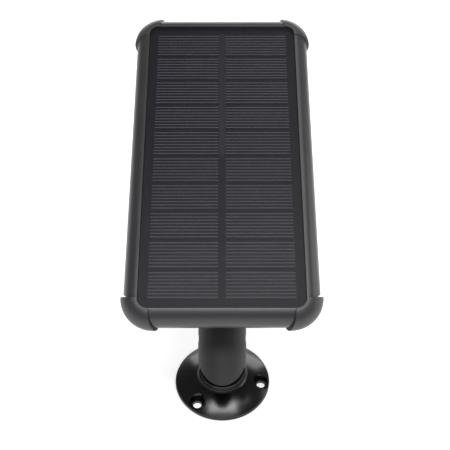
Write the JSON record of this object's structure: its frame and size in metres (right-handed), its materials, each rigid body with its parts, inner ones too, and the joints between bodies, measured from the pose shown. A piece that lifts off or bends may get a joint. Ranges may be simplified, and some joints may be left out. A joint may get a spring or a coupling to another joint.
{
  "type": "solar charging panel on swivel bracket",
  "caption": "Solar charging panel for an outdoor camera: framed cell panel with corner caps on a tilting, panning arm and a round screw-down base.",
  "frame": {"origin": "centre of the base's underside, where it meets the wall or post, and centre of its screw circle", "axes": "+Z out of the wall along the base's axis, -Y towards the low edge of the panel, +X to the viewer's right"},
  "size_m": [0.1068, 0.1888, 0.1592],
  "materials": {
    "cover_glass": "tempered, slightly satin, clear with a dark cell behind",
    "silicon_cell": "near-black blue-violet silicon",
    "ribbon_tape": "dark tape over the centre ribbon",
    "backing_laminate": "black fibreglass laminate",
    "frame_plastic": "satin charcoal, fine spark texture",
    "cap_plastic": "satin charcoal, fine spark texture",
    "cover_plastic": "matte charcoal, fine spark texture",
    "arm_plastic": "matte charcoal, fine spark texture",
    "black_gloss_plastic": "polished black",
    "knob_plastic": "satin black",
    "black_nylon": "satin black nylon",
    "nylon": "natural white nylon",
    "foam_rubber": "closed-cell foam, matte",
    "wire_sleeve": "satin silicone sleeve",
    "zinc_steel": "zinc plated",
    "brass": "turned brass",
    "circuit_board": "green solder mask",
    "component_black": "moulded epoxy",
    "capacitor_can": "drawn can"
  },
  "bodies": {
    "base": {"base_flange": "black_gloss_plastic", "base_pad": "foam_rubber", "swivel_bush": "black_nylon"},
    "swivel": {"swivel_head": "black_gloss_plastic", "swivel_washer": "zinc_steel", "swivel_screw": "zinc_steel"},
    "arm": {"arm_tube": "arm_plastic", "arm_tongue": "arm_plastic", "tongue_screws": "zinc_steel", "tilt_bolt": "zinc_steel", "tilt_nut": "zinc_steel", "tilt_washers": "nylon"},
    "panel": {"hinge_bracket": "arm_plastic", "bracket_screws": "zinc_steel", "hinge_bolt": "zinc_steel", "hinge_washers": "nylon", "front_frame": "frame_plastic", "rear_cover": "cover_plastic", "rear_seal": "foam_rubber", "cover_screws": "zinc_steel", "glass_seal": "foam_rubber", "cap_low_left": "cap_plastic", "cap_low_right": "cap_plastic", "cap_high_left": "cap_plastic", "cap_high_right": "cap_plastic", "cap_screws": "zinc_steel", "cover_glass": "cover_glass", "bus_ribbon": "ribbon_tape", "backing_board": "backing_laminate", "solar_cell_1": "silicon_cell", "solar_cell_2": "silicon_cell", "solar_cell_3": "silicon_cell", "solar_cell_4": "silicon_cell", "solar_cell_5": "silicon_cell", "solar_cell_6": "silicon_cell", "solar_cell_7": "silicon_cell", "solar_cell_8": "silicon_cell", "solar_cell_9": "silicon_cell", "solar_cell_10": "silicon_cell", "charge_board": "circuit_board", "board_screws": "zinc_steel", "inductor": "component_black", "capacitors": "capacitor_can", "regulator_chip": "component_black", "blocking_diode": "component_black", "terminal_block": "nylon", "lead_wires": "wire_sleeve", "cable_gland": "black_nylon", "gland_seal": "foam_rubber", "gland_nut": "black_nylon", "breather_vent": "black_nylon"},
    "knob": {"hinge_knob": "knob_plastic", "knob_insert": "brass"}
  },
  "joints": [
    {"name": "base_pan", "type": "hinge", "parent": "base", "child": "swivel", "pos_m": [0, 0, 0.01], "axis": [0, 0, 1], "range_deg": [-180, 180]},
    {"name": "arm_tilt", "type": "hinge", "parent": "swivel", "child": "arm", "pos_m": [0, 0, 0.0388], "axis": [1, 0, 0], "range_deg": [-30, 56]},
    {"name": "panel_tilt", "type": "hinge", "parent": "arm", "child": "panel", "pos_m": [0, 0.07925, 0.09027], "axis": [1, 0, 0], "range_deg": [-80, 7]},
    {"name": "knob_turn", "type": "hinge", "parent": "panel", "child": "knob", "pos_m": [0.015, 0.07925, 0.09027], "axis": [1, 0, 0], "range_deg": [0, 360]}
  ]
}
